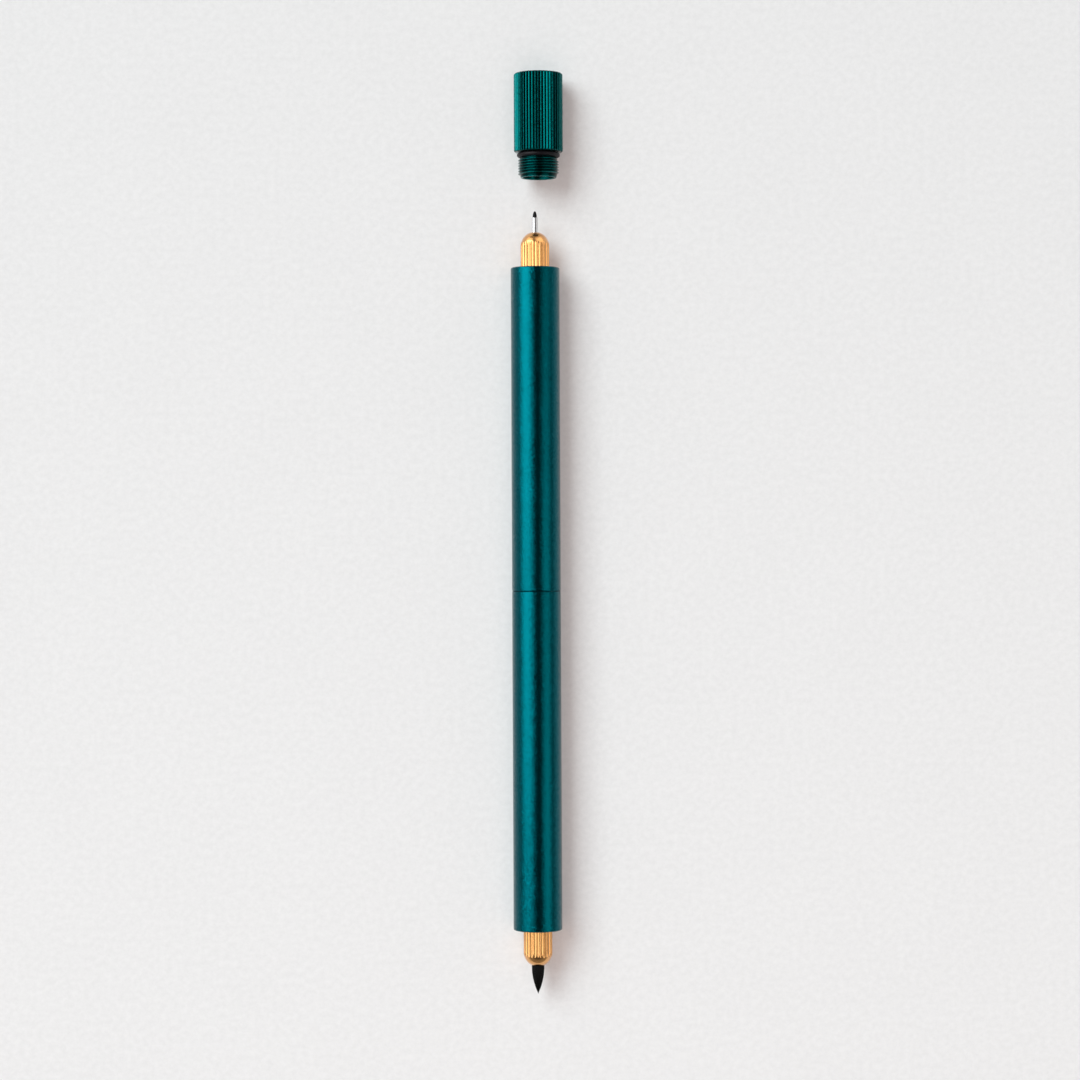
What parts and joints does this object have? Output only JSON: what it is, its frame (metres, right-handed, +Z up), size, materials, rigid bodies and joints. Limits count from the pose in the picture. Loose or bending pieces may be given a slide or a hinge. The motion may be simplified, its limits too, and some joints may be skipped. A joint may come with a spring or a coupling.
{
  "type": "double-ended fineliner and brush pen",
  "caption": "Slim metal pen with a fineliner at one end and a brush point at the other, fluted brass noses, barrels that unscrew at the middle and a ribbed screw cap laid beside it.",
  "frame": {"origin": "on the table, straight under the pen's axis, half way from the brush's point to the cap's closed end", "axes": "+Y along the pen from the brush to the fineliner and the cap, +Z up from the table, +X to the right of the pen seen from above with the cap at the top"},
  "size_m": [0.0097, 0.17, 0.009],
  "materials": {
    "anodised_teal": "satin blasted and anodised teal",
    "polished_brass": "polished, gold toned",
    "steel": "drawn and turned steel",
    "nib_fibre": "bonded fibre soaked with black ink",
    "brush_fibre": "black brush fibre, soft sheen",
    "wick_felt": "ink-soaked felt",
    "seal_rubber": "black rubber, slight sheen",
    "white_plastic": "moulded, off white",
    "cartridge_plastic": "milky translucent tube"
  },
  "bodies": {
    "upper_half": {"upper_barrel": "anodised_teal", "centre_joiner": "steel", "joint_o_ring": "seal_rubber", "fineliner_nose": "polished_brass", "fineliner_nose_o_ring": "seal_rubber", "nib_holder": "white_plastic", "needle_sleeve": "steel", "fineliner_nib": "nib_fibre", "fineliner_wick": "wick_felt", "fineliner_cartridge": "cartridge_plastic", "fineliner_reservoir": "wick_felt", "fineliner_cartridge_plug": "white_plastic"},
    "brush_core": {"brush_reservoir": "wick_felt"},
    "lower_half": {"lower_barrel": "anodised_teal", "brush_nose": "polished_brass", "brush_nose_o_ring": "seal_rubber", "brush_holder": "white_plastic", "brush_tip": "brush_fibre", "brush_wick": "wick_felt", "brush_cartridge": "cartridge_plastic", "brush_cartridge_plug": "white_plastic"},
    "cap_liner": {"inner_cap": "white_plastic"},
    "cap_ring": {"cap_o_ring": "seal_rubber", "cap_spring": "steel"},
    "cap": {"cap_shell": "anodised_teal"}
  },
  "joints": [
    {"name": "cap_draw", "type": "slide", "parent": "upper_half", "child": "cap_liner", "axis": [-0.0406, -0.9992, 0], "range_m": [0, 0.01774]},
    {"name": "cap_advance", "type": "slide", "parent": "cap_liner", "child": "cap_ring", "axis": [0, -1, 0], "range_m": [0, 0.0035], "deforming": ["cap_spring"]},
    {"name": "cap_turn", "type": "hinge", "parent": "cap_ring", "child": "cap", "pos_m": [0.00072, 0.07046, 0.0045], "axis": [0, -1, 0], "range_deg": [0, 2520]},
    {"name": "barrel_advance", "type": "slide", "parent": "upper_half", "child": "brush_core", "axis": [0, -1, 0], "range_m": [0, 0.0035]},
    {"name": "barrel_turn", "type": "hinge", "parent": "brush_core", "child": "lower_half", "pos_m": [0, -0.01062, 0.0045], "axis": [0, -1, 0], "range_deg": [0, 2520]}
  ],
  "couplings": [
    {"joint": "cap_turn", "follows": "cap_advance", "rad_per_m": 12566},
    {"joint": "barrel_turn", "follows": "barrel_advance", "rad_per_m": 12566}
  ]
}
